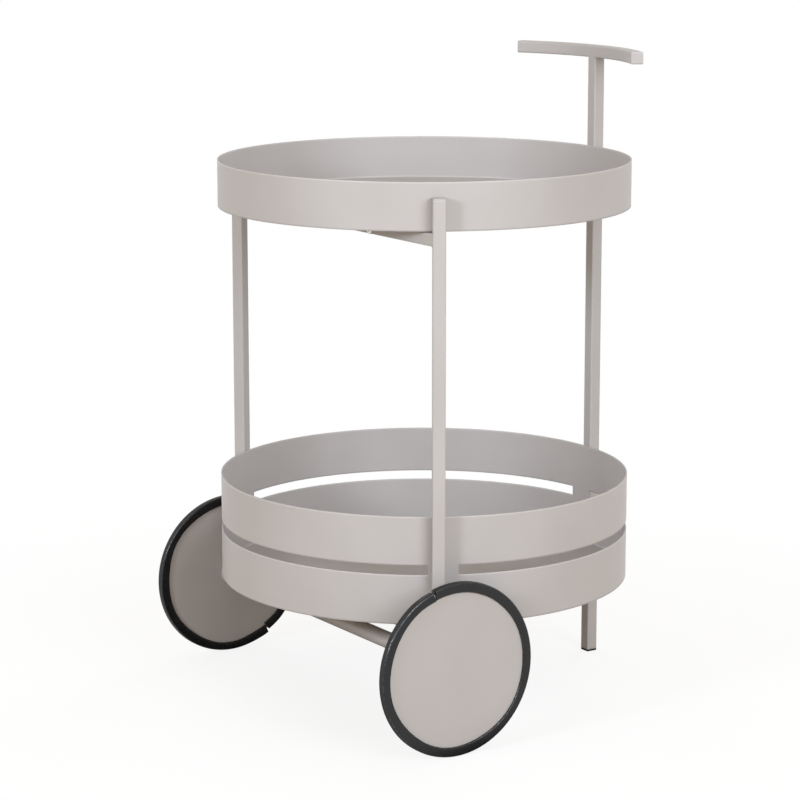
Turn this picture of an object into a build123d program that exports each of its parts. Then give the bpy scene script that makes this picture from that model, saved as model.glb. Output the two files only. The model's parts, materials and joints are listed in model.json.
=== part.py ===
from build123d import *
import os
from math import cos, degrees, radians, sin

# Round two-tier serving cart: trays hung between three square legs, wheels in front, handle at the rear.
# Origin on the floor below the middle of the cart's box, +Z up, wheels towards -Y, handle towards +Y.

# Trays
tray_radius = 250.0
tray_sheet = 1.5
floor_recess = 1.5
upper_base = 603.0
upper_wall_height = 56.0
lower_base = 145.0
lower_wall_height = 128.0

# Slots in the lower tray's wall, with a bridge of sheet left at each leg
slot_sill = 59.0
slot_height = 11.5
slot_corner = 1.0
bridge_width = 35.0
lower_tray_turn = 1.5

# Square tube of the frame
tube_width = 15.0
tube_wall = 1.2
tube_corner = 1.6
leg_gap = 1.0
leg_top_below_rim = 17.0
bar_gap = 1.0
cap_thickness = 1.5

# Handle
handle_top = 784.0
handle_half_angle = 27.6

# Foot of the rear leg
foot_pad = 2.4
foot_round = 0.8
foot_plug_length = 14.0
foot_plug_clearance = 0.1

# Wheels
wheel_radius = 103.0
wheel_clearance = 6.0
disc_thickness = 4.0
tyre_width = 9.5
tyre_tread = 5.0
tyre_lip = 6.3
tyre_corner = 2.0
tyre_joint_gap = 1.2
right_joint_angle = 109.0
left_joint_angle = -57.0

# Axle
axle_radius = 10.0
axle_wall = 1.5
axle_overhang = 14.0
leg_saddle = 4.0
shaft_radius = 6.0
shaft_clearance = 0.05
hub_radius = 12.0
bush_length = 36.0
bush_flange = 2.0
bush_flange_radius = 11.5
washer_thickness = 1.0
washer_clearance = 0.2
running_gap = 0.3
circlip_thickness = 1.0
circlip_depth = 0.6
circlip_rim = 1.8
circlip_opening = 60.0
shaft_tail = 3.0
shaft_chamfer = 0.8
grub_radius = 2.0
grub_bite = 1.2
grub_inset = 12.0

# Tray lugs, screws and nuts
lug_sheet = 2.0
lug_bend = 1.5
lug_width = 22.0
lug_flange = 24.0
lug_foot = 0.5
front_screw_offset = 93.0
rear_screw_inset = 45.0
screw_rise = 4.6
screw_radius = 2.5
screw_clearance = 0.2
screw_head_radius = 4.5
screw_head_height = 3.0
screw_head_round = 1.2
socket_width = 3.0
socket_depth = 1.6
nut_width = 8.0
nut_height = 4.0
thread_end = 1.5

# Places worked out from the sizes above
tray_axis_y = -(leg_gap + tube_width) / 2
leg_radius = tray_radius + leg_gap + tube_width / 2
leg_angles = {"right": -30.0, "left": 210.0, "rear": 90.0}
front_x = leg_radius * cos(radians(leg_angles["right"]))
front_y = tray_axis_y + leg_radius * sin(radians(leg_angles["right"]))
rear_face_y = tray_axis_y + tray_radius + leg_gap
axle_height = wheel_radius
wheel_middle = tray_radius + wheel_clearance + tyre_width / 2
front_leg_top = upper_base + upper_wall_height - leg_top_below_rim
handle_underside = handle_top - tube_width
bore_radius = axle_radius - axle_wall
disc_radius = wheel_radius - tyre_tread
axle_end = front_x + axle_overhang
washer_start = axle_end + bush_flange + running_gap
hub_start = washer_start + washer_thickness
disc_start = wheel_middle - disc_thickness / 2
bush_inner_end = axle_end - bush_length
circlip_start = bush_inner_end - running_gap - circlip_thickness
shaft_end = circlip_start - shaft_tail
groove_radius = shaft_radius - circlip_depth
rear_screw_y = rear_face_y - rear_screw_inset
tray_bases = {"upper": upper_base, "lower": lower_base}
sides = {"right": 1, "left": -1}


def save(piece, name):
    """Labels a finished sub-part and writes it to its own file."""
    piece.part.label = name
    export_step(piece.part, f"parts/{name}.step")


def tray_plane(height):
    """Level plane on the trays' axis."""
    return Plane(origin=(0, tray_axis_y, height))


def radial_plane(angle, height):
    """Upright plane through the trays' axis: x runs outwards at the angle, y runs up."""
    a = radians(angle)
    return Plane(origin=(0, tray_axis_y, height), x_dir=(cos(a), sin(a), 0), z_dir=(sin(a), -cos(a), 0))


def leg_plane(name, height):
    """Level plane at a leg's centre, turned so that x runs outwards from the trays."""
    a = radians(leg_angles[name])
    centre = (leg_radius * cos(a), tray_axis_y + leg_radius * sin(a), height)
    return Plane(origin=centre, x_dir=(cos(a), sin(a), 0), z_dir=(0, 0, 1))


def axle_plane(side, distance):
    """Upright plane square to the axle, this far from the cart's middle, facing outwards on that side."""
    return Plane(origin=(sides[side] * distance, front_y, axle_height), x_dir=(0, 1, 0), z_dir=(sides[side], 0, 0))


def screw_planes(base):
    """Planes of the screw heads' seats under one tray, facing out of the tubes that the screws go through."""
    height = base - bar_gap - tube_width + screw_rise
    planes = []
    for way in sides.values():
        seat = (way * front_screw_offset, front_y - tube_width / 2, height)
        planes.append(Plane(origin=seat, x_dir=(1, 0, 0), z_dir=(0, -1, 0)))
    rear_seat = (-tube_width / 2, rear_screw_y, height)
    planes.append(Plane(origin=rear_seat, x_dir=(0, -1, 0), z_dir=(-1, 0, 0)))
    return planes


def tube_outline():
    """Outside of the square tube."""
    RectangleRounded(tube_width, tube_width, tube_corner)


def tube_section():
    """Wall of the square tube."""
    inner = tube_width - 2 * tube_wall
    tube_outline()
    RectangleRounded(inner, inner, tube_corner / 2, mode=Mode.SUBTRACT)


os.makedirs("parts", exist_ok=True)

# Tray floors
for tier, base in tray_bases.items():
    with BuildPart() as tray_floor:
        with BuildSketch(tray_plane(base + floor_recess)):
            Circle(tray_radius - tray_sheet)
        extrude(amount=tray_sheet)
    save(tray_floor, f"{tier}_tray_floor")

# Upper tray wall
with BuildPart() as upper_tray_wall:
    with BuildSketch(tray_plane(upper_base)):
        Circle(tray_radius)
        Circle(tray_radius - tray_sheet, mode=Mode.SUBTRACT)
    extrude(amount=upper_wall_height)
save(upper_tray_wall, "upper_tray_wall")

# Lower tray wall with its three long slots
bridge_angle = degrees(bridge_width / tray_radius)
slot_arc = 120.0 - bridge_angle
with BuildPart() as lower_tray_wall:
    with BuildSketch(tray_plane(lower_base)):
        Circle(tray_radius)
        Circle(tray_radius - tray_sheet, mode=Mode.SUBTRACT)
    extrude(amount=lower_wall_height)
    for leg_angle in leg_angles.values():
        slot_start = leg_angle + lower_tray_turn + bridge_angle / 2
        with BuildSketch(radial_plane(slot_start, lower_base + slot_sill + slot_height / 2)):
            with Locations((tray_radius, 0)):
                Rectangle(4 * tray_sheet, slot_height)
        revolve(axis=Axis((0, tray_axis_y, 0), (0, 0, 1)), revolution_arc=slot_arc, mode=Mode.SUBTRACT)
    slot_corners = lower_tray_wall.edges().filter_by(GeomType.LINE).filter_by(
        lambda edge: abs(edge.length - tray_sheet) < tray_sheet / 10
    )
    fillet(slot_corners, slot_corner)
save(lower_tray_wall, "lower_tray_wall")

# Front legs, coped at the foot to sit on the axle tube, and their top plates
for side in sides:
    with BuildPart() as front_leg:
        foot = axle_height + leg_saddle
        with BuildSketch(leg_plane(side, foot)):
            tube_section()
        extrude(amount=front_leg_top - cap_thickness - foot)
        with BuildSketch(axle_plane(side, front_x - tube_width)):
            Circle(axle_radius)
        extrude(amount=2 * tube_width, mode=Mode.SUBTRACT)
    save(front_leg, f"{side}_leg")

    with BuildPart() as leg_cap:
        with BuildSketch(leg_plane(side, front_leg_top - cap_thickness)):
            tube_outline()
        extrude(amount=cap_thickness)
    save(leg_cap, f"{side}_leg_cap")

# Rear leg from its foot to the handle
with BuildPart() as rear_leg:
    with BuildSketch(leg_plane("rear", foot_pad)):
        tube_section()
    extrude(amount=handle_underside - foot_pad)
save(rear_leg, "rear_leg")

# Plastic insert that closes the rear leg
with BuildPart() as rear_foot:
    with BuildSketch(leg_plane("rear", 0)):
        tube_outline()
    extrude(amount=foot_pad)
    fillet(rear_foot.faces().sort_by(Axis.Z)[0].edges(), foot_round)
    plug_width = tube_width - 2 * tube_wall - 2 * foot_plug_clearance
    with BuildSketch(leg_plane("rear", foot_pad)):
        RectangleRounded(plug_width, plug_width, tube_corner / 2)
    extrude(amount=foot_plug_length)
save(rear_foot, "rear_foot")

# Handle: the same tube bent round the trays' axis, with a flat plate on each end
handle_middle = handle_top - tube_width / 2
handle_start = leg_angles["rear"] - handle_half_angle
with BuildPart() as handle_bar:
    with BuildSketch(radial_plane(handle_start, handle_middle)):
        with Locations((leg_radius, 0)):
            tube_section()
    revolve(axis=Axis((0, tray_axis_y, 0), (0, 0, 1)), revolution_arc=2 * handle_half_angle)
save(handle_bar, "handle_bar")

for side, way in sides.items():
    with BuildPart() as handle_cap:
        with BuildSketch(radial_plane(leg_angles["rear"] - way * handle_half_angle, handle_middle)):
            with Locations((leg_radius, 0)):
                tube_outline()
        extrude(amount=way * cap_thickness)
    save(handle_cap, f"{side}_handle_cap")

# Crossbars and spines under the trays
for tier, base in tray_bases.items():
    bar_middle = base - bar_gap - tube_width / 2
    with BuildPart() as crossbar:
        with BuildSketch(Plane.YZ.offset(-front_x)):
            with Locations((front_y, bar_middle)):
                tube_section()
        extrude(amount=2 * front_x)
        for side in sides:
            with BuildSketch(leg_plane(side, bar_middle - tube_width)):
                tube_outline()
            extrude(amount=2 * tube_width, mode=Mode.SUBTRACT)
        for seat in screw_planes(base)[:-1]:
            with BuildSketch(seat):
                Circle(screw_radius + screw_clearance)
            extrude(amount=-tube_width, mode=Mode.SUBTRACT)
    save(crossbar, f"{tier}_crossbar")

    with BuildPart() as spine:
        with BuildSketch(Plane.XZ.offset(-rear_face_y)):
            with Locations((0, bar_middle)):
                tube_section()
        extrude(amount=rear_face_y - front_y - tube_width / 2)
        with BuildSketch(screw_planes(base)[-1]):
            Circle(screw_radius + screw_clearance)
        extrude(amount=-tube_width, mode=Mode.SUBTRACT)
    save(spine, f"{tier}_spine")

# Bent lugs welded under the tray floors, each held to its tube by one screw and nut
for tier, base in tray_bases.items():
    seats = screw_planes(base)
    lug_top = base + floor_recess - seats[0].origin.Z
    lug_bottom = lug_foot - screw_rise
    for name, seat in zip(("right", "left", "rear"), seats):
        with BuildPart() as lug:
            back = Plane(origin=seat.origin, x_dir=-seat.z_dir, z_dir=seat.x_dir)
            with BuildSketch(back.offset(-lug_width / 2)):
                with BuildLine() as lug_outline:
                    Polyline(
                        (tube_width, lug_bottom),
                        (tube_width, lug_top),
                        (tube_width + lug_flange, lug_top),
                        (tube_width + lug_flange, lug_top - lug_sheet),
                        (tube_width + lug_sheet, lug_top - lug_sheet),
                        (tube_width + lug_sheet, lug_bottom),
                        close=True,
                    )
                    inner_bend = (tube_width + lug_sheet, lug_top - lug_sheet)
                    fillet(lug_outline.vertices().sort_by_distance(inner_bend)[0], lug_bend)
                    fillet(lug_outline.vertices().sort_by_distance((tube_width, lug_top))[0], lug_bend + lug_sheet)
                make_face()
            extrude(amount=lug_width)
            with BuildSketch(seat.offset(-tube_width)):
                Circle(screw_radius + screw_clearance)
            extrude(amount=-lug_sheet, mode=Mode.SUBTRACT)
        save(lug, f"{tier}_{name}_lug")

    with BuildPart() as screws:
        for seat in seats:
            with BuildSketch(seat):
                Circle(screw_head_radius)
            extrude(amount=screw_head_height)
            rim = screws.edges().filter_by(GeomType.CIRCLE).sort_by_distance(seat.offset(screw_head_height).origin)[0]
            fillet(rim, screw_head_round)
            with BuildSketch(seat.offset(screw_head_height - socket_depth)):
                RegularPolygon(socket_width / 2, 6, major_radius=False)
            extrude(amount=socket_depth, mode=Mode.SUBTRACT)
            with BuildSketch(seat):
                Circle(screw_radius)
            extrude(amount=-(tube_width + lug_sheet + nut_height + thread_end))
    save(screws, f"{tier}_tray_screws")

    with BuildPart() as nuts:
        for seat in seats:
            with BuildSketch(seat.offset(-tube_width - lug_sheet)):
                RegularPolygon(nut_width / 2, 6, major_radius=False)
                Circle(screw_radius, mode=Mode.SUBTRACT)
            extrude(amount=-nut_height)
    save(nuts, f"{tier}_tray_nuts")

# Axle tube, with a hole in its underside for each bush's grub screw
with BuildPart() as axle_tube:
    with BuildSketch(Plane.YZ.offset(-axle_end)):
        with Locations((front_y, axle_height)):
            Circle(axle_radius)
            Circle(bore_radius, mode=Mode.SUBTRACT)
    extrude(amount=2 * axle_end)
    with BuildSketch(Plane.XY.offset(axle_height - axle_radius)):
        with Locations(*[(way * (axle_end - grub_inset), front_y) for way in sides.values()]):
            Circle(grub_radius)
    extrude(amount=axle_radius - shaft_radius, mode=Mode.SUBTRACT)
save(axle_tube, "axle_tube")

with BuildPart() as grub_screws:
    with BuildSketch(Plane.XY.offset(axle_height - axle_radius)):
        with Locations(*[(way * (axle_end - grub_inset), front_y) for way in sides.values()]):
            Circle(grub_radius)
    extrude(amount=axle_radius - bore_radius + grub_bite)
save(grub_screws, "grub_screws")

# Wheels and what carries them, the same on both sides apart from where the tyre is joined
joint_angles = {"right": right_joint_angle, "left": left_joint_angle}
for side, way in sides.items():
    # Flanged bush in the end of the axle tube
    with BuildPart() as bush:
        with BuildSketch(axle_plane(side, bush_inner_end)):
            Circle(bore_radius)
        extrude(amount=bush_length)
        with BuildSketch(axle_plane(side, axle_end)):
            Circle(bush_flange_radius)
        extrude(amount=bush_flange)
        with BuildSketch(axle_plane(side, bush_inner_end)):
            Circle(shaft_radius + shaft_clearance)
        extrude(amount=bush_length + bush_flange, mode=Mode.SUBTRACT)
        with BuildSketch(Plane.XY.offset(axle_height - axle_radius)):
            with Locations((way * (axle_end - grub_inset), front_y)):
                Circle(grub_radius)
        extrude(amount=axle_radius - bore_radius + grub_bite, mode=Mode.SUBTRACT)
    save(bush, f"{side}_axle_bush")

    # Plain wheel disc
    with BuildPart() as disc:
        with BuildSketch(axle_plane(side, disc_start)):
            Circle(disc_radius)
        extrude(amount=disc_thickness)
    save(disc, f"{side}_wheel_disc")

    # Rubber edge profile, open at its butt joint
    joint_angle = joint_angles[side]
    half_gap = degrees(tyre_joint_gap / wheel_radius) / 2
    with BuildPart() as tyre:
        a = radians(joint_angle + half_gap)
        wheel_centre = (way * wheel_middle, front_y, axle_height)
        section_plane = Plane(origin=wheel_centre, x_dir=(1, 0, 0), z_dir=(0, -sin(a), cos(a)))
        with BuildSketch(section_plane):
            with Locations((0, wheel_radius)):
                tyre_block = Rectangle(tyre_width, tyre_tread + tyre_lip, align=(Align.CENTER, Align.MAX))
            fillet(tyre_block.vertices().group_by(Axis.Y)[-1], tyre_corner)
            with Locations((0, disc_radius)):
                Rectangle(disc_thickness, tyre_lip, align=(Align.CENTER, Align.MAX), mode=Mode.SUBTRACT)
        revolve(axis=Axis(wheel_centre, (1, 0, 0)), revolution_arc=360.0 - 2 * half_gap)
    save(tyre, f"{side}_tyre")

    # Hub boss behind the disc
    with BuildPart() as hub:
        with BuildSketch(axle_plane(side, hub_start)):
            Circle(hub_radius)
            Circle(shaft_radius, mode=Mode.SUBTRACT)
        extrude(amount=disc_start - hub_start)
    save(hub, f"{side}_hub")

    # Stub shaft with its circlip groove
    with BuildPart() as shaft:
        with BuildSketch(axle_plane(side, shaft_end)):
            Circle(shaft_radius)
        extrude(amount=disc_start - shaft_end)
        inner_rim = shaft.edges().filter_by(GeomType.CIRCLE).sort_by_distance(axle_plane(side, shaft_end).origin)[0]
        chamfer(inner_rim, shaft_chamfer)
        with BuildSketch(axle_plane(side, circlip_start)):
            Circle(shaft_radius)
            Circle(groove_radius, mode=Mode.SUBTRACT)
        extrude(amount=circlip_thickness, mode=Mode.SUBTRACT)
    save(shaft, f"{side}_stub_shaft")

    # Thrust washer against the hub
    with BuildPart() as washer:
        with BuildSketch(axle_plane(side, washer_start)):
            Circle(bush_flange_radius)
            Circle(shaft_radius + washer_clearance, mode=Mode.SUBTRACT)
        extrude(amount=washer_thickness)
    save(washer, f"{side}_thrust_washer")

    # Circlip in the shaft's groove
    with BuildPart() as circlip:
        with BuildSketch(axle_plane(side, circlip_start)):
            Circle(groove_radius + circlip_rim)
            Circle(groove_radius, mode=Mode.SUBTRACT)
        extrude(amount=circlip_thickness)
        with BuildSketch(axle_plane(side, circlip_start)):
            reach = 2 * (groove_radius + circlip_rim)
            with BuildLine():
                Polyline(
                    (0, 0),
                    (reach * cos(radians(circlip_opening / 2)), reach * sin(radians(circlip_opening / 2))),
                    (reach * cos(radians(circlip_opening / 2)), -reach * sin(radians(circlip_opening / 2))),
                    close=True,
                )
            make_face()
        extrude(amount=circlip_thickness, mode=Mode.SUBTRACT)
    save(circlip, f"{side}_circlip")
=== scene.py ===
import json
import math

import bmesh
import bpy
from mathutils import Matrix, Vector


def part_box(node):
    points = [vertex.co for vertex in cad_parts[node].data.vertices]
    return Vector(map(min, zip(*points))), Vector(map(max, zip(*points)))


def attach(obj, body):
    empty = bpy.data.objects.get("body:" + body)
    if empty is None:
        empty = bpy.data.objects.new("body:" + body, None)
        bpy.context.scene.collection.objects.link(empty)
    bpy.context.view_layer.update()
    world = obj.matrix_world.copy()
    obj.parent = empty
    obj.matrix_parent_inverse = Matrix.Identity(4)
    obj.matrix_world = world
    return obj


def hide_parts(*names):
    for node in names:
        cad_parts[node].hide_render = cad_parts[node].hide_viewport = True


# Round two-tier serving cart: finishes, rubber tyres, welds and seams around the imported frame.
# Lengths in metres, angles in degrees where they are named.

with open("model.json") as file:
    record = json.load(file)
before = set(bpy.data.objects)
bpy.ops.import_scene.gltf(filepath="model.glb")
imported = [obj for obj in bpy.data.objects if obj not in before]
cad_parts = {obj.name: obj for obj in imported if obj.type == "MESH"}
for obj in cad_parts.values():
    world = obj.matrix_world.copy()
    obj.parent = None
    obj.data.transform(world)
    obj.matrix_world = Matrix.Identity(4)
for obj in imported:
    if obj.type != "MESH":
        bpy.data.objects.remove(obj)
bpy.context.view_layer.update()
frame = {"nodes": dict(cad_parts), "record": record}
nodes = frame["nodes"]
sides = {"right": 1, "left": -1}
tiers = ("upper", "lower")

# Places and sizes read from the frame
wall_low, wall_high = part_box("upper_tray_wall")
tray_axis = Vector(((wall_low.x + wall_high.x) / 2, (wall_low.y + wall_high.y) / 2, 0))
spine_low, spine_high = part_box("upper_spine")
tube_half = (spine_high.x - spine_low.x) / 2
rear_face = spine_high.y
crossbar_rear = spine_low.y
axle_low, axle_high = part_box("axle_tube")
axle_radius = (axle_high.z - axle_low.z) / 2
axle_y = (axle_low.y + axle_high.y) / 2
axle_z = (axle_low.z + axle_high.z) / 2
handle_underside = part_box("handle_bar")[0].z

# Tyre section
tread_radius = (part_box("right_tyre")[1].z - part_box("right_tyre")[0].z) / 2
disc_radius = (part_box("right_wheel_disc")[1].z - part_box("right_wheel_disc")[0].z) / 2
tyre_half = (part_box("right_tyre")[1].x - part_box("right_tyre")[0].x) / 2
wheel_middle = (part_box("right_tyre")[1].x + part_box("right_tyre")[0].x) / 2
groove_half = (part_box("right_wheel_disc")[1].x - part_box("right_wheel_disc")[0].x) / 2
tyre_lip = 0.0063
shoulder_round = 0.0021
lip_round = 0.0014
lip_feather = 0.0004
lip_radius = disc_radius - tyre_lip
shoulder_steps = 10
lip_steps = 6
feather_steps = 3
tyre_stations = 300

# Waver of the tyres' lips round each wheel: waves to the turn, height, and where the first one stands
lip_waves = {
    "right": ((2, 0.0009, 124.0), (5, 0.0003, 26.0), (6, 0.00034, -69.0)),
    "left": ((2, 0.0004, 71.0), (3, 0.0006, -113.0), (6, 0.0007, -25.0)),
}

# Tyre joints: the ends gape at the tread and meet at the lip, and neither lies quite true
joint_angles = {"right": 109.0, "left": -57.0}
joint_shifts = {"right": (-0.0009, 0.0001), "left": (-0.0012, 0.0015)}
joint_gap_lip = 0.0004
joint_gape = 0.0018
joint_cut_reach = 0.004
joint_spring_reach = 0.016

# Seams and welds
tube_corner = 0.0016
seam_radius = 0.0022
seam_sink = 0.0004
seam_ripple = 0.012
seam_waves = (23, 57)
seam_steps = 6
seam_stations = 360
bead_spacing = 0.0005
bead_pitch = 0.0016
bead_ripple = 0.07
bead_crown = 0.12
bead_sink = 0.0005
bead_taper = 0.0025
bead_end = 0.35
bead_steps = 5
corner_steps = 6
frame_bead = 0.0009
handle_bead = 0.0009
saddle_bead = 0.0018
saddle_flare = 0.1
hub_bead = 0.0016
lug_bead = 0.0016
lug_bead_share = 0.6
sharp_angle = math.radians(45)

# Ground weld between rear leg and handle: where edges stop showing, and its low mound
ground_width = (0.0077, 0.0087)
ground_height = (0.005, 0.0065)
ground_lift = 0.0005
ground_reach = 0.003
ground_flush = 0.0015
ground_proud = 0.00003
ground_depth = 0.0009
ground_steps = 8

# Powder coat: tones, including a painted highlight for upper edges and painted shade for lower ones, noise in
# cells to the metre, depth of the skin, and how far the edges are eased
coat_low = (0.442, 0.421, 0.413)
coat_high = (0.472, 0.452, 0.446)
painted_highlight_tone = (0.58, 0.56, 0.55)
painted_shade_tone = (0.31, 0.29, 0.28)
# Pooled tones for welds and seams, paler as a painted highlight.
pooled_highlight_low = (0.46, 0.438, 0.43, 1)
pooled_highlight_high = (0.50, 0.48, 0.474, 1)
coat_clouds = 9.0
coat_pebbles = 1100.0
coat_grit = 4200.0
coat_depth = 0.00012
coat_edge = 0.0007
coat_edge_reach = 0.003
edge_tip = (0.03, 0.3)

# Rubber
rubber_black = (0.003, 0.003, 0.0034, 1)
rubber_dust = (0.008, 0.008, 0.0086, 1)
rubber_lines = 1300.0
rubber_grain = 2300.0
rubber_patches = 45.0
rubber_polish = 420.0
rubber_depth = 0.00018
rubber_edge = 0.0002
rubber_border = 0.0003

# Plastics and zinc
black_low = (0.002, 0.002, 0.002, 1)
black_high = (0.006, 0.006, 0.006, 1)
black_grain = 2600.0
black_scuffs = 300.0
black_depth = 0.0001
black_edge = 0.0003
white_low = (0.70, 0.69, 0.65, 1)
white_high = (0.78, 0.77, 0.73, 1)
white_clouds = 120.0
white_marks = 3200.0
white_depth = 0.00006
white_edge = 0.0002
zinc_straw = (0.76, 0.70, 0.60, 1)
zinc_blue = (0.70, 0.69, 0.66, 1)
zinc_bloom = 160.0
zinc_frost = 2600.0
zinc_depth = 0.00005
zinc_edge = 0.0003


class Value:
    """A value on its way to a shader. Sums, differences and products add the Math nodes they need."""

    def __init__(self, finish, socket):
        self.finish = finish
        self.socket = socket

    def output(self, name):
        """Another output of the node that this value comes from."""
        return Value(self.finish, self.socket.node.outputs[name])

    def maths(self, operation, first, second):
        return self.finish.node("ShaderNodeMath", {"operation": operation}, {0: first, 1: second})

    def __add__(self, other):
        return self.maths("ADD", self, other)

    def __radd__(self, other):
        return self.maths("ADD", other, self)

    def __sub__(self, other):
        return self.maths("SUBTRACT", self, other)

    def __rsub__(self, other):
        return self.maths("SUBTRACT", other, self)

    def __mul__(self, other):
        return self.maths("MULTIPLY", self, other)

    def __rmul__(self, other):
        return self.maths("MULTIPLY", other, self)

    def __pow__(self, other):
        return self.maths("POWER", self, other)

    def __abs__(self):
        return self.finish.node("ShaderNodeMath", {"operation": "ABSOLUTE"}, {0: self})


class Finish:
    """The node tree of one finish."""

    def __init__(self, tree):
        self.tree = tree
        tree.nodes.clear()

    def node(self, kind, settings, sockets, output=0):
        """Adds a node with these settings, feeds its sockets and gives one of its outputs."""
        made = self.tree.nodes.new(kind)
        for name, setting in settings.items():
            setattr(made, name, setting)
        for key, value in sockets.items():
            if isinstance(value, Value):
                self.tree.links.new(value.socket, made.inputs[key])
            else:
                made.inputs[key].default_value = value
        return Value(self, made.outputs[output]) if made.outputs else None

    def place(self):
        """Position on the object, in metres."""
        return self.node("ShaderNodeTexCoord", {}, {}, "Object")

    def noise(self, place, scale, detail):
        """Noise from 0 to 1 with this many cells to the metre."""
        return self.node("ShaderNodeTexNoise", {}, {"Vector": place, "Scale": scale, "Detail": detail})

    def between(self, low, high, value):
        """Value taken from 0 at low to 1 at high, eased."""
        settings = {"interpolation_type": "SMOOTHSTEP"}
        return self.node("ShaderNodeMapRange", settings, {"Value": value, "From Min": low, "From Max": high})

    def mix(self, amount, first, second):
        """Colour between two colours."""
        return self.node("ShaderNodeMix", {"data_type": "RGBA"}, {0: amount, 6: first, 7: second}, 2)

    def bump(self, height, depth, strength, normal):
        """Normal raised by a height from 0 to 1 over this depth."""
        sockets = {"Height": height, "Distance": depth, "Strength": strength, "Normal": normal}
        return self.node("ShaderNodeBump", {}, sockets)

    def soft_edges(self, radius):
        """Normal with the edges of the metal eased by this radius."""
        return self.node("ShaderNodeBevel", {"samples": 6}, {"Radius": radius})

    def edges(self, reach):
        """How near an upper and a lower edge are, from 0 to 1: how far an eased normal tips up or down."""
        flat = self.node("ShaderNodeNewGeometry", {}, {}, "Normal")
        sockets = {0: self.soft_edges(reach), 1: flat}
        tipped = self.node("ShaderNodeVectorMath", {"operation": "SUBTRACT"}, sockets)
        rise = self.node("ShaderNodeSeparateXYZ", {}, {0: tipped}, "Z")
        return self.between(*edge_tip, rise), self.between(*edge_tip, 0 - rise)

    def ground_joint(self):
        """0 where the rear leg is ground flush with the handle and shows no edge, 1 elsewhere."""
        across = self.node("ShaderNodeSeparateXYZ", {}, {0: self.place()}, "X")
        rise = across.output("Z") - handle_underside
        beside = self.between(*ground_width, (across * across) ** 0.5)
        away = self.between(*ground_height, (rise * rise) ** 0.5)
        return 1 - (1 - beside) * (1 - away)

    def axle_place(self):
        """Position as distance along and out from the axle, the same all the way round a wheel."""
        along = self.node("ShaderNodeSeparateXYZ", {}, {0: self.place()}, "X")
        out_y = along.output("Y") - axle_y
        out_z = along.output("Z") - axle_z
        out = (out_y * out_y + out_z * out_z) ** 0.5
        return self.node("ShaderNodeCombineXYZ", {}, {"X": along, "Y": out})

    def show(self, sockets):
        """Ends the tree in a Principled surface."""
        surface = self.node("ShaderNodeBsdfPrincipled", {}, sockets)
        self.node("ShaderNodeOutputMaterial", {}, {"Surface": surface})


def new_finish(name):
    """A material and its empty tree."""
    material = bpy.data.materials.new(name)
    material.use_nodes = True
    return material, Finish(material.node_tree)


def powder_coat(name, roughness, sheen, painted_light_scale):
    """Satin greige powder coat with a pebbled skin, a painted highlight along upper edges and painted shade
    along lower ones.
    """
    material, coat = new_finish(name)
    place = coat.place()
    cloud = coat.noise(place, coat_clouds, 3.0)
    pebble = coat.noise(place, coat_pebbles, 2.0)
    grit = coat.noise(place, coat_grit, 1.0)
    tone = coat.between(0.3, 0.7, cloud * 0.7 + grit * 0.3)
    skin = pebble * 0.75 + grit * 0.25
    eased = coat.soft_edges(coat_edge)
    joint = coat.ground_joint()
    upper, lower = [edge * joint for edge in coat.edges(coat_edge_reach)]
    tones = (coat_low, coat_high, painted_highlight_tone, painted_shade_tone)
    low, high, pale, painted_shade_colour = [tuple(painted_light_scale * part for part in colour) + (1,) for colour in tones]
    # Painted highlight: a paler tone along upper edges; painted shade: a deeper tone along lower edges.
    colour = coat.mix(upper, coat.mix(tone, low, high), pale)
    coat.show({
        "Base Color": coat.mix(lower, colour, painted_shade_colour),
        "Roughness": roughness + 0.08 * cloud + 0.06 * pebble - 0.08 * upper,
        "Specular IOR Level": sheen,
        "Normal": coat.bump(skin, coat_depth, 0.25, eased),
    })
    return material


def joint_coat():
    """The same powder coat where it has pooled over welds and in seams: smoother, and a touch paler as a
    painted highlight.
    """
    material, coat = new_finish("joint_coat")
    place = coat.place()
    cloud = coat.noise(place, coat_clouds, 3.0)
    pebble = coat.noise(place, coat_pebbles, 2.0)
    skin = {"Height": pebble, "Distance": coat_depth, "Strength": 0.15}
    coat.show({
        "Base Color": coat.mix(cloud, pooled_highlight_low, pooled_highlight_high),
        "Roughness": 0.28 + 0.06 * cloud + 0.06 * pebble,
        "Specular IOR Level": 0.5,
        "Normal": coat.node("ShaderNodeBump", {}, skin),
    })
    return material


def tyre_rubber():
    """Black extruded rubber: a dull tread, drawn lines, a fine grain and a broken polish on the edges."""
    material, rubber = new_finish("tyre_rubber")
    place = rubber.place()
    wheel_place = rubber.axle_place()
    along = rubber.node("ShaderNodeSeparateXYZ", {}, {0: wheel_place}, "X")
    drawn = rubber.noise(wheel_place, rubber_lines, 2.0)
    grain = rubber.noise(place, rubber_grain, 2.0)
    patches = rubber.noise(place, rubber_patches, 3.0)
    dust = rubber.between(0.5, 0.8, patches * 0.7 + grain * 0.3)
    rounded = rubber.between(0.0, rubber_border, tyre_half - abs(abs(along) - wheel_middle))
    tread = rubber.between(tread_radius - rubber_border, tread_radius, along.output("Y"))
    polish = rubber.between(0.46, 0.62, rubber.noise(place, rubber_polish, 2.0))
    rubber.show({
        "Base Color": rubber.mix(dust, rubber_black, rubber_dust),
        "Roughness": 0.2 + 0.08 * patches + 0.08 * grain + 0.3 * tread,
        "Specular IOR Level": 0.45,
        "Coat Weight": rounded * (1 - tread) * polish,
        "Coat Roughness": 0.14,
        "Coat IOR": 1.5,
        "Normal": rubber.bump(drawn * 0.3 + grain * 0.7, rubber_depth, 0.7, rubber.soft_edges(rubber_edge)),
    })
    return material


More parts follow.
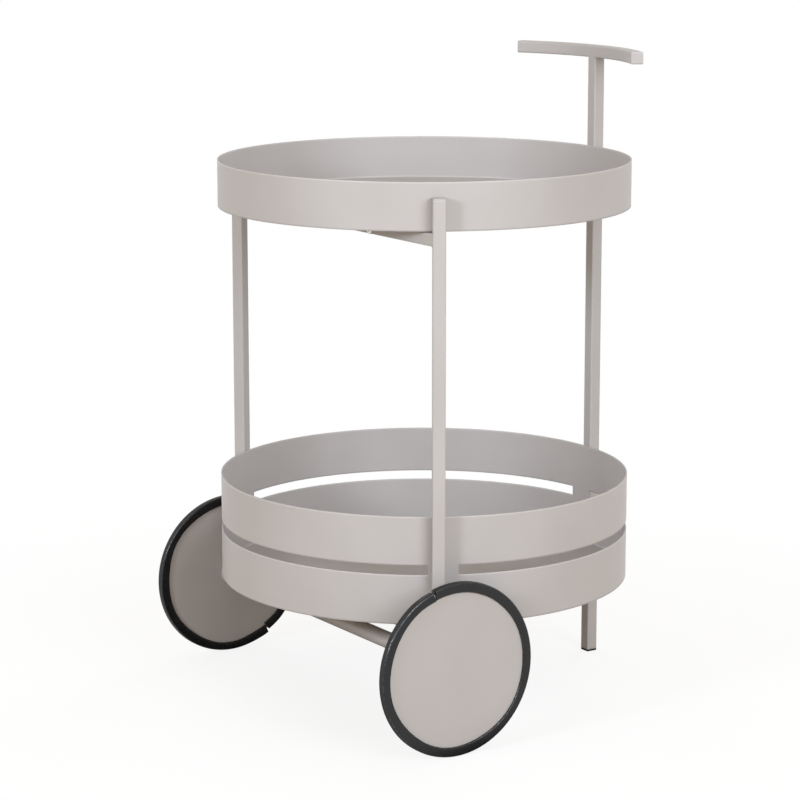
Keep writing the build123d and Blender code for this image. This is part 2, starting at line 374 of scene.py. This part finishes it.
def black_plastic():
    """Moulded black plastic with a spark-eroded grain."""
    material, plastic = new_finish("black_plastic")
    place = plastic.place()
    grain = plastic.noise(place, black_grain, 2.0)
    scuff = plastic.noise(place, black_scuffs, 3.0)
    plastic.show({
        "Base Color": plastic.mix(scuff, black_low, black_high),
        "Roughness": 0.42 + 0.2 * scuff,
        "Specular IOR Level": 0.1,
        "Normal": plastic.bump(grain, black_depth, 0.4, plastic.soft_edges(black_edge)),
    })
    return material


def white_plastic():
    """Turned white bush stock with faint tool marks."""
    material, plastic = new_finish("white_plastic")
    marks = plastic.noise(plastic.axle_place(), white_marks, 1.0)
    cloud = plastic.noise(plastic.place(), white_clouds, 2.0)
    plastic.show({
        "Base Color": plastic.mix(cloud, white_low, white_high),
        "Roughness": 0.3 + 0.2 * marks,
        "Normal": plastic.bump(marks, white_depth, 0.4, plastic.soft_edges(white_edge)),
    })
    return material


def zinc_steel():
    """Bright zinc plate with a faint straw and blue bloom."""
    material, zinc = new_finish("zinc_steel")
    place = zinc.place()
    bloom = zinc.noise(place, zinc_bloom, 2.0)
    frost = zinc.noise(place, zinc_frost, 2.0)
    zinc.show({
        "Base Color": zinc.mix(bloom, zinc_straw, zinc_blue),
        "Metallic": 1.0,
        "Roughness": 0.28 + 0.18 * frost,
        "Normal": zinc.bump(frost, zinc_depth, 0.3, zinc.soft_edges(zinc_edge)),
    })
    return material


finishes = {
    "powder_coat": powder_coat("powder_coat", roughness=0.36, sheen=0.5, painted_light_scale=1.0),
    # The tray floors' copy is duller, and 3% lighter as painted light.
    "tray_floor_coat": powder_coat("tray_floor_coat", roughness=0.46, sheen=0.28, painted_light_scale=1.03),
    "joint_coat": joint_coat(),
    "tyre_rubber": tyre_rubber(),
    "black_plastic": black_plastic(),
    "white_plastic": white_plastic(),
    "zinc_steel": zinc_steel(),
}
for subpart in frame["record"]["subparts"]:
    mesh = nodes[subpart["node"]].data
    mesh.materials.clear()
    mesh.materials.append(finishes[subpart["material_slot"]])
for tier in tiers:
    nodes[f"{tier}_tray_floor"].data.materials[0] = finishes["tray_floor_coat"]


def skin(sections, closed):
    """Points and faces of a skin over a row of matching loops, closed into a ring or capped at both ends."""
    count = len(sections[0])
    rows = len(sections)
    points = [point for section in sections for point in section]
    faces = []
    for row in range(rows if closed else rows - 1):
        here = row * count
        there = (row + 1) % rows * count
        for i in range(count):
            j = (i + 1) % count
            faces.append((here + i, here + j, there + j, there + i))
    if not closed:
        faces.append(tuple(range(count)))
        faces.append(tuple(range((rows - 1) * count, rows * count)))
    return points, faces


def make_piece(name, body, shells, finish):
    """A piece of the cart from closed shells, in a finish of its material slot, riding on a body."""
    build = bmesh.new()
    for points, faces in shells:
        corners = [build.verts.new(point) for point in points]
        for face in faces:
            build.faces.new([corners[i] for i in face])
    bmesh.ops.recalc_face_normals(build, faces=build.faces)
    mesh = bpy.data.meshes.new(name)
    build.to_mesh(mesh)
    build.free()
    mesh.shade_smooth()
    mesh.set_sharp_from_angle(angle=sharp_angle)
    mesh.materials.append(finishes[finish])
    piece = bpy.data.objects.new(name, mesh)
    bpy.context.scene.collection.objects.link(piece)
    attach(piece, body)
    return piece


def arc(centre, radius, start, end, steps):
    """Points of an arc in a section, angles in degrees."""
    angles = [math.radians(start + (end - start) * step / steps) for step in range(steps + 1)]
    return [(centre[0] + radius * math.cos(a), centre[1] + radius * math.sin(a)) for a in angles]


def tyre_outline():
    """The rubber's section as distances across the wheel and out from the axle."""
    half = [(groove_half, disc_radius)]
    feather = (groove_half + lip_feather, lip_radius + lip_feather)
    lip = (tyre_half - lip_round, lip_radius + lip_round)
    shoulder = (tyre_half - shoulder_round, tread_radius - shoulder_round)
    half += arc(feather, lip_feather, 180, 270, feather_steps)
    half += arc(lip, lip_round, -90, 0, lip_steps)
    half += arc(shoulder, shoulder_round, 0, 90, shoulder_steps)
    return half + [(-across, out) for across, out in reversed(half)]


def tyre_section(outline, centre_x, angle, cut, shift, wave):
    """The section at an angle round the wheel, leaning back from a joint by cut and standing out by shift."""
    section = []
    for across, out in outline:
        lip = max(0.0, (disc_radius - out) / tyre_lip)
        lean = cut * (out - lip_radius) / (tread_radius - lip_radius) / out
        reach = out + shift - wave * lip
        y = axle_y + reach * math.cos(angle + lean)
        z = axle_z + reach * math.sin(angle + lean)
        section.append(Vector((centre_x + across, y, z)))
    return section


def lip_wave(side, angle):
    """How far the lip wavers at an angle round the wheel."""
    waves = lip_waves[side]
    return sum(high * math.cos(count * angle - math.radians(turned)) for count, high, turned in waves)


def make_tyre(side):
    """A rubber edge pressed on a disc, with its ends butted at the joint."""
    middle = sides[side] * wheel_middle
    outline = tyre_outline()
    start = math.radians(joint_angles[side]) + joint_gap_lip / lip_radius / 2
    turn = 2 * math.pi - joint_gap_lip / lip_radius
    start_shift, end_shift = joint_shifts[side]
    sections = []
    for station in range(tyre_stations + 1):
        along = turn * station / tyre_stations
        from_start = along * tread_radius
        from_end = (turn - along) * tread_radius
        cut = math.exp(-from_start / joint_cut_reach) - math.exp(-from_end / joint_cut_reach)
        shift = start_shift * math.exp(-((from_start / joint_spring_reach) ** 2))
        shift += end_shift * math.exp(-((from_end / joint_spring_reach) ** 2))
        angle = start + along
        wave = lip_wave(side, angle)
        sections.append(tyre_section(outline, middle, angle, joint_gape * cut, shift, wave))
    shells = [skin(sections, False)]
    piece = make_piece(f"{side}_tyre_rubber", f"{side}_wheel", shells, "tyre_rubber")
    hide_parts(f"{side}_tyre")


for side in sides:
    make_tyre(side)


def make_tray_seam(tier):
    """The coved seam where a tray's floor meets its wall."""
    low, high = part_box(f"{tier}_tray_floor")
    wall = (high.x - low.x) / 2
    sections = []
    for station in range(seam_stations):
        angle = 2 * math.pi * station / seam_stations
        cove = seam_radius * (1 + seam_ripple * sum(math.sin(count * angle) for count in seam_waves))
        outline = [(wall + seam_sink, high.z - seam_sink)]
        outline += arc((wall - cove, high.z + cove), cove, -90, 0, seam_steps)
        way = Vector((math.cos(angle), math.sin(angle), 0))
        sections.append([tray_axis + way * out + Vector((0, 0, z)) for out, z in outline])
    make_piece(f"{tier}_tray_seam", "frame", [skin(sections, True)], "joint_coat")


for tier in tiers:
    make_tray_seam(tier)


def bead(stations, size, closed=False):
    """A fillet weld along stations, each a corner point and the directions of its two faces."""
    length = sum((b[0] - a[0]).length for a, b in zip(stations, stations[1:]))
    sections = []
    gone = 0.0
    for index, (corner, first, second) in enumerate(stations):
        if index:
            gone += (corner - stations[index - 1][0]).length
        leg = size * (1 + bead_ripple * math.sin(2 * math.pi * gone / bead_pitch))
        if not closed:
            leg *= min(1.0, bead_end + min(gone, length - gone) / bead_taper)
        out = (first + second).normalized()
        section = [corner - out * bead_sink]
        for step in range(bead_steps + 1):
            share = step / bead_steps
            chord = first * (1 - share) + second * share
            section.append(corner + (chord + out * bead_crown * 4 * share * (1 - share)) * leg)
        sections.append(section)
    return skin(sections, closed)


def straight_bead(start, end, first, second, size):
    """A fillet weld along a straight corner."""
    steps = max(4, round((end - start).length / bead_spacing))
    first = first.normalized()
    second = second.normalized()
    stations = [(start.lerp(end, step / steps), first, second) for step in range(steps + 1)]
    return bead(stations, size)


def tube_outline(centre, outwards):
    """Points round the outside of a square leg, with the direction that each one faces."""
    flat = tube_half - tube_corner
    quarter = Matrix.Rotation(math.pi / 2, 3, "Z")
    straight_steps = round(2 * flat / bead_spacing)
    places = []
    for turn in range(4):
        across = quarter @ outwards
        for step in range(straight_steps):
            share = 2 * step / straight_steps - 1
            places.append((centre + outwards * tube_half + across * flat * share, outwards))
        for step in range(corner_steps):
            a = math.pi / 2 * step / corner_steps
            facing = outwards * math.cos(a) + across * math.sin(a)
            places.append((centre + (outwards + across) * flat + facing * tube_corner, facing))
        outwards = across
    return places


down = Vector((0, 0, -1))
up = Vector((0, 0, 1))
right = Vector((1, 0, 0))
back = Vector((0, 1, 0))


def leg_centre(side):
    """Middle of a front leg, at floor level, and the direction from the trays to it."""
    low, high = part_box(f"{side}_leg")
    centre = Vector(((low.x + high.x) / 2, (low.y + high.y) / 2, 0))
    return centre, (centre - tray_axis).normalized()


def make_crossbar_welds(tier, side):
    """Welds where a crossbar meets a front leg: up its front and back faces and along its underside."""
    low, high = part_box(f"{tier}_crossbar")
    centre, outwards = leg_centre(side)
    way = sides[side]
    shells = []
    flank = Matrix.Rotation(-way * math.pi / 2, 3, "Z") @ outwards
    for facing, edge in ((flank, -1), (-outwards, 1)):
        run = (tube_half - edge * tube_half * facing.y) / facing.x
        foot = centre + Vector((run, edge * tube_half, low.z + tube_corner))
        top = Vector((foot.x, foot.y, high.z - tube_corner))
        along_leg = Vector((-facing.y, facing.x, 0))
        along_leg *= math.copysign(1, along_leg.y * edge)
        shells.append(straight_bead(foot, top, -way * right, along_leg, frame_bead))
    under = []
    for place, facing in tube_outline(centre, outwards):
        inside = abs(place.y - centre.y) < tube_half - tube_corner
        if inside and (place.x - centre.x) * way < 0:
            under.append((Vector((place.x, place.y, low.z)), facing, down))
    under.sort(key=lambda station: station[0].y)
    shells.append(bead(under, frame_bead))
    make_piece(f"{tier}_{side}_crossbar_weld", "frame", shells, "joint_coat")


def make_spine_welds(tier):
    """Welds at both ends of a spine."""
    low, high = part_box(f"{tier}_spine")
    shells = []
    for way in sides.values():
        foot = Vector((way * tube_half, crossbar_rear, low.z + tube_corner))
        top = Vector((way * tube_half, crossbar_rear, high.z - tube_corner))
        shells.append(straight_bead(foot, top, way * right, back, frame_bead))
    reach = tube_half - tube_corner
    start = Vector((-reach, rear_face, low.z))
    end = Vector((reach, rear_face, low.z))
    shells.append(straight_bead(start, end, -back, down, frame_bead))
    make_piece(f"{tier}_spine_weld", "frame", shells, "joint_coat")


def make_handle_weld():
    """Small welds on both sides of the rear leg, under the handle."""
    shells = []
    for way in sides.values():
        start = Vector((way * tube_half, rear_face + tube_corner, handle_underside))
        end = Vector((way * tube_half, rear_face + 2 * tube_half - tube_corner, handle_underside))
        shells.append(straight_bead(start, end, way * right, down, handle_bead))
    make_piece("handle_weld", "frame", shells, "joint_coat")


def make_ground_weld():
    """Welds in the groove under the handle's rounded edge, ground flush before and behind the rear leg."""
    middle = handle_underside + ground_lift
    half = tube_half - tube_corner
    shells = []
    for face, out in ((rear_face, -1), (rear_face + 2 * tube_half, 1)):
        inside = face - out * ground_depth
        outline = [(inside, middle + ground_reach), (inside, middle - ground_reach)]
        for step in range(ground_steps + 1):
            off = (2 * step / ground_steps - 1) * ground_reach
            proud = ground_proud * (1 - (off / ground_flush) ** 2)
            outline.append((face + out * proud, middle + off))
        count = len(outline)
        points = [Vector((x, y, z)) for x in (-half, half) for y, z in outline]
        faces = [(i, (i + 1) % count, count + (i + 1) % count, count + i) for i in range(count)]
        shells.append((points, faces + [tuple(range(count)), tuple(range(count, 2 * count))]))
    make_piece("ground_weld", "frame", shells, "powder_coat")


def make_saddle_weld(side):
    """Weld round a front leg's foot where it sits on the axle tube."""
    centre, outwards = leg_centre(side)
    leg_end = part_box(f"{side}_leg")[0].z
    stations = []
    for place, facing in tube_outline(centre, outwards):
        off = min(max(place.y - axle_y, -axle_radius), axle_radius)
        rise = math.sqrt(axle_radius * axle_radius - off * off)
        height = max(leg_end, axle_z + rise)
        square = Vector((0, off, rise)).normalized()
        along_axle = (facing - square * facing.dot(square) + facing * saddle_flare).normalized()
        stations.append((Vector((place.x, place.y, height)), along_axle, up))
    shells = [bead(stations, saddle_bead, closed=True)]
    make_piece(f"{side}_saddle_weld", "frame", shells, "joint_coat")


def make_hub_weld(side):
    """Weld round the hub on the back of a wheel disc."""
    low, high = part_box(f"{side}_wheel_disc")
    hub_low, hub_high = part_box(f"{side}_hub")
    hub_radius = (hub_high.z - hub_low.z) / 2
    centre = Vector((low.x if sides[side] > 0 else high.x, axle_y, axle_z))
    steps = round(2 * math.pi * hub_radius / bead_spacing)
    stations = []
    for step in range(steps):
        angle = 2 * math.pi * step / steps
        out = Vector((0, math.cos(angle), math.sin(angle)))
        stations.append((centre + out * hub_radius, out, -sides[side] * right))
    shells = [bead(stations, hub_bead, closed=True)]
    make_piece(f"{side}_hub_weld", f"{side}_wheel", shells, "joint_coat")


def make_lug_welds(tier):
    """Short welds along both edges of each lug, under the tray's floor."""
    shells = []
    for name in ("right", "left", "rear"):
        low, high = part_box(f"{tier}_{name}_lug")
        run = right if name == "rear" else back
        across = back if name == "rear" else right
        tip = high.dot(run)
        heel = tip - (tip - low.dot(run)) * lug_bead_share
        for edge, way in ((low.dot(across), -1), (high.dot(across), 1)):
            start = run * heel + across * edge + up * high.z
            end = run * tip + across * edge + up * high.z
            shells.append(straight_bead(start, end, across * way, down, lug_bead))
    make_piece(f"{tier}_lug_welds", "frame", shells, "joint_coat")


for tier in tiers:
    for side in sides:
        make_crossbar_welds(tier, side)
    make_spine_welds(tier)
    make_lug_welds(tier)
make_handle_weld()
make_ground_weld()
for side in sides:
    make_saddle_weld(side)
    make_hub_weld(side)

# Camera, placed from the trays' axis
focal_length = 125.667
sensor_width = 36.0
camera_distance = 3.36701
camera_height = 1.03238
camera_azimuth = math.radians(56.286)
camera_yaw = math.radians(0.503)
camera_pitch = math.radians(11.291)
camera_roll = math.radians(-0.037)


def make_camera():
    """Camera at the photograph's viewing angle."""
    data = bpy.data.cameras.new("camera")
    data.lens = focal_length
    data.sensor_width = sensor_width
    camera = bpy.data.objects.new("camera", data)
    bpy.context.scene.collection.objects.link(camera)
    bpy.context.scene.camera = camera
    stand = Vector((math.sin(camera_azimuth), -math.cos(camera_azimuth), 0)) * camera_distance
    turn = Matrix.Rotation(camera_azimuth + camera_yaw, 4, "Z")
    tilt = Matrix.Rotation(math.pi / 2 - camera_pitch, 4, "X")
    roll = Matrix.Rotation(camera_roll, 4, "Z")
    camera.matrix_world = Matrix.Translation(tray_axis + stand + up * camera_height) @ turn @ tilt @ roll


make_camera()

# Studio: a pale floor, even light from all round, soft boxes in front and fills behind and above
floor_half = 30.0
floor_drop = 0.0003
floor_bounce = (0.52, 0.455, 0.375, 1)
floor_white = (0.95, 0.95, 0.95, 1)
floor_shade = (0.16, 0.155, 0.15, 1)
floor_glow = 0.84
shadow_reach = (0.4, 1.2)
mirror_reach = (0.28, 0.38)
world_light = (0.5, 0.422, 0.338, 1)
lamp_colour = (0.87, 0.928, 1.0)
lamp_distance = 3.0
lamp_aim = 0.4

# Azimuth from the camera's side, elevation, size and strength of each lamp
soft_boxes = {
    "right_soft_box": (31.0, 20.0, 1.4, 53.0),
    "front_soft_box": (5.0, 18.0, 1.0, 5.0),
    "left_soft_box": (-43.0, 18.0, 0.5, 38.0),
}
fills = {
    "back_fill": (150.0, 12.0, 1.4, 32.0),
    "far_side_fill": (-156.0, 10.0, 1.2, 30.0),
    "top_fill": (0.0, 85.0, 1.4, 10.0),
}


def seen_rays(finish):
    """What the eye sees and what a reflection or glass shows, both 0 for the light that falls on the cart."""
    camera_ray = finish.node("ShaderNodeLightPath", {}, {}, "Is Camera Ray")
    mirrored = camera_ray.output("Is Glossy Ray") + camera_ray.output("Is Transmission Ray")
    return camera_ray, finish.between(0.0, 1.0, mirrored)


def make_floor():
    """Pale floor that keeps the cart's shadow and runs out into white."""
    material, pale = new_finish("pale_floor")
    seen, mirrored = seen_rays(pale)
    ground = pale.node("ShaderNodeVectorMath", {"operation": "LENGTH"}, {0: pale.place()}, "Value")
    far = pale.between(*shadow_reach, ground)
    near = pale.between(*mirror_reach, ground)
    glow = seen * (floor_glow + (1 - floor_glow) * far) + mirrored * near
    # Reflections near the cart see the floor in the dark floor_shade colour: painted shade under the trays.
    colour = pale.mix(mirrored, pale.mix(seen, floor_bounce, floor_white), floor_shade)
    shaded = pale.node("ShaderNodeBsdfDiffuse", {}, {"Color": colour})
    white = pale.node("ShaderNodeEmission", {}, {"Color": (1, 1, 1, 1), "Strength": 1.0})
    surface = pale.node("ShaderNodeMixShader", {}, {0: glow, 1: shaded, 2: white})
    pale.node("ShaderNodeOutputMaterial", {}, {"Surface": surface})
    mesh = bpy.data.meshes.new("floor")
    corners = [(x * floor_half, y * floor_half, -floor_drop) for x, y in ((-1, -1), (1, -1), (1, 1), (-1, 1))]
    mesh.from_pydata(corners, [], [(0, 1, 2, 3)])
    mesh.materials.append(material)
    floor = bpy.data.objects.new("floor", mesh)
    bpy.context.scene.collection.objects.link(floor)


def make_world():
    """Even light from all round, white to the eye."""
    world = bpy.data.worlds.new("studio")
    world.use_nodes = True
    bpy.context.scene.world = world
    air = Finish(world.node_tree)
    seen, mirrored = seen_rays(air)
    colour = air.mix(seen + mirrored, world_light, (1, 1, 1, 1))
    light = air.node("ShaderNodeBackground", {}, {"Color": colour, "Strength": 1.0})
    air.node("ShaderNodeOutputWorld", {}, {"Surface": light})


def make_lamp(name, azimuth, elevation, size, strength, fill):
    """A square lamp that faces the cart. A fill makes no highlight."""
    data = bpy.data.lights.new(name, "AREA")
    data.shape = "SQUARE"
    data.size = size
    data.energy = strength
    data.color = lamp_colour
    lamp = bpy.data.objects.new(name, data)
    bpy.context.scene.collection.objects.link(lamp)
    a = camera_azimuth + math.radians(azimuth)
    e = math.radians(elevation)
    aim = tray_axis + up * lamp_aim
    way = Vector((math.sin(a) * math.cos(e), -math.cos(a) * math.cos(e), math.sin(e)))
    lamp.location = aim + way * lamp_distance
    lamp.visible_glossy = not fill
    lamp.rotation_mode = "QUATERNION"
    lamp.rotation_quaternion = way.to_track_quat("Z", "Y")


make_floor()
make_world()
for name, setting in soft_boxes.items():
    make_lamp(name, *setting, fill=False)
for name, setting in fills.items():
    make_lamp(name, *setting, fill=True)

bpy.context.scene.view_settings.view_transform = "Standard"
